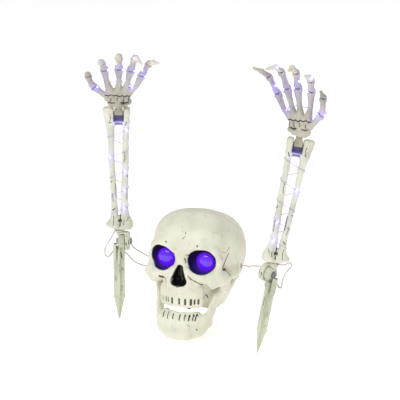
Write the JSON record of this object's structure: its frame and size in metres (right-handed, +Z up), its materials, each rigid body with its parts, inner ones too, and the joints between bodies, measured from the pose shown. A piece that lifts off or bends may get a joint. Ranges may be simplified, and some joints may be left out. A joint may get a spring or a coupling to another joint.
{
  "type": "halloween skeleton light set",
  "caption": "Light-up skeleton ground set: hinged-jaw skull with violet eyes and staked jointed forearms with hands, wound with drop-light wire.",
  "frame": {"origin": "on the ground, midway between the tips of the two stakes", "axes": "+Z up, -Y towards the viewer, +X to the viewer's right"},
  "size_m": [0.3448, 0.2347, 0.4195],
  "materials": {
    "bone_plastic": "satin ivory, painted shading",
    "forearm_plastic": "satin ivory",
    "hand_plastic": "satin grey beige",
    "stake_plastic": "moulded, satin",
    "violet_lens": "clear violet, lit",
    "lamp": "clear, lit",
    "steel": "zinc plated",
    "black_plastic": "black",
    "board": "green board",
    "cell": "printed sleeve without text",
    "lead": "soft clear cover",
    "light_string": "thin wire with lit drops"
  },
  "bodies": {
    "skull_and_stakes": {"skull_front_shell": "bone_plastic", "skull_rear_shell": "bone_plastic", "jaw_pin_left": "steel", "jaw_pin_right": "steel", "eye_lens_left": "violet_lens", "eye_lamp_left": "lamp", "eye_lens_right": "violet_lens", "eye_lamp_right": "lamp", "battery_tray": "black_plastic", "battery_1": "cell", "battery_2": "cell", "battery_3": "cell", "battery_contact_left": "steel", "battery_contact_right": "steel", "switch_body": "black_plastic", "timer_board": "board", "shell_screw_1": "steel", "shell_screw_2": "steel", "shell_screw_3": "steel", "shell_screw_4": "steel", "left_stake": "stake_plastic", "left_elbow_bolt": "steel", "left_elbow_nut": "steel", "right_stake": "stake_plastic", "right_elbow_bolt": "steel", "right_elbow_nut": "steel", "left_feed_lead": "lead", "left_return_lead": "lead", "right_lead": "lead"},
    "jaw": {"jaw": "bone_plastic"},
    "battery_door": {"battery_door": "bone_plastic"},
    "door_screw": {"door_screw": "steel"},
    "switch_knob": {"switch_knob": "black_plastic"},
    "left_link": {"left_elbow_link": "forearm_plastic", "left_lead_winding": "lead"},
    "left_forearm": {"left_forearm": "forearm_plastic", "left_forearm_lights": "light_string", "left_wrist_bolt": "steel"},
    "left_wrist_tab": {"left_wrist_tab": "hand_plastic"},
    "left_hand": {"left_hand": "hand_plastic", "left_hand_lights": "light_string"},
    "right_link": {"right_elbow_link": "forearm_plastic", "right_lead_winding": "lead"},
    "right_forearm": {"right_forearm": "forearm_plastic", "right_forearm_lights": "light_string", "right_wrist_bolt": "steel"},
    "right_wrist_tab": {"right_wrist_tab": "hand_plastic"},
    "right_hand": {"right_hand": "hand_plastic", "right_hand_lights": "light_string"}
  },
  "joints": [
    {"name": "jaw_open", "type": "hinge", "parent": "skull_and_stakes", "child": "jaw", "pos_m": [0.01731, 0.04983, 0.086], "axis": [0.9135, -0.4067, 0], "range_deg": [-7, 12]},
    {"name": "battery_door_drop", "type": "slide", "parent": "skull_and_stakes", "child": "battery_door", "axis": [0, 0, -1], "range_m": [0, 0.02]},
    {"name": "door_screw_turn", "type": "hinge", "parent": "battery_door", "child": "door_screw", "pos_m": [0.04292, 0.03076, 0.035], "axis": [0, 0, 1], "continuous": true},
    {"name": "switch_slide", "type": "slide", "parent": "skull_and_stakes", "child": "switch_knob", "axis": [0.9135, -0.4067, 0], "range_m": [-0.002, 0.002]},
    {"name": "left_elbow_fold", "type": "hinge", "parent": "skull_and_stakes", "child": "left_link", "pos_m": [-0.0965, 0.077, 0.116], "axis": [1, 0, 0], "range_deg": [-95, 95], "deforming": ["left_feed_lead", "left_return_lead"]},
    {"name": "left_forearm_twist", "type": "hinge", "parent": "left_link", "child": "left_forearm", "pos_m": [-0.0965, 0.077, 0.116], "axis": [0, 0, 1], "range_deg": [-90, 90]},
    {"name": "left_wrist_bend", "type": "hinge", "parent": "left_forearm", "child": "left_wrist_tab", "pos_m": [-0.0965, 0.077, 0.3066], "axis": [1, 0, 0], "range_deg": [-75, 35]},
    {"name": "left_hand_turn", "type": "hinge", "parent": "left_wrist_tab", "child": "left_hand", "pos_m": [-0.0965, 0.077, 0.3066], "axis": [0, -0.342, 0.9397], "range_deg": [-55, 65]},
    {"name": "right_elbow_fold", "type": "hinge", "parent": "skull_and_stakes", "child": "right_link", "pos_m": [0.11854, -0.077, 0.11409], "axis": [0.7644, -0.6293, -0.1403], "range_deg": [-95, 95], "deforming": ["right_lead"]},
    {"name": "right_forearm_twist", "type": "hinge", "parent": "right_link", "child": "right_forearm", "pos_m": [0.11854, -0.077, 0.11409], "axis": [0.1805, 0, 0.9836], "range_deg": [-129, 51]},
    {"name": "right_wrist_bend", "type": "hinge", "parent": "right_forearm", "child": "right_wrist_tab", "pos_m": [0.15295, -0.077, 0.30156], "axis": [0.9836, 0, -0.1805], "range_deg": [-55, 55]},
    {"name": "right_hand_turn", "type": "hinge", "parent": "right_wrist_tab", "child": "right_hand", "pos_m": [0.15295, -0.077, 0.30156], "axis": [0.1805, 0, 0.9836], "range_deg": [-31, 89]}
  ]
}
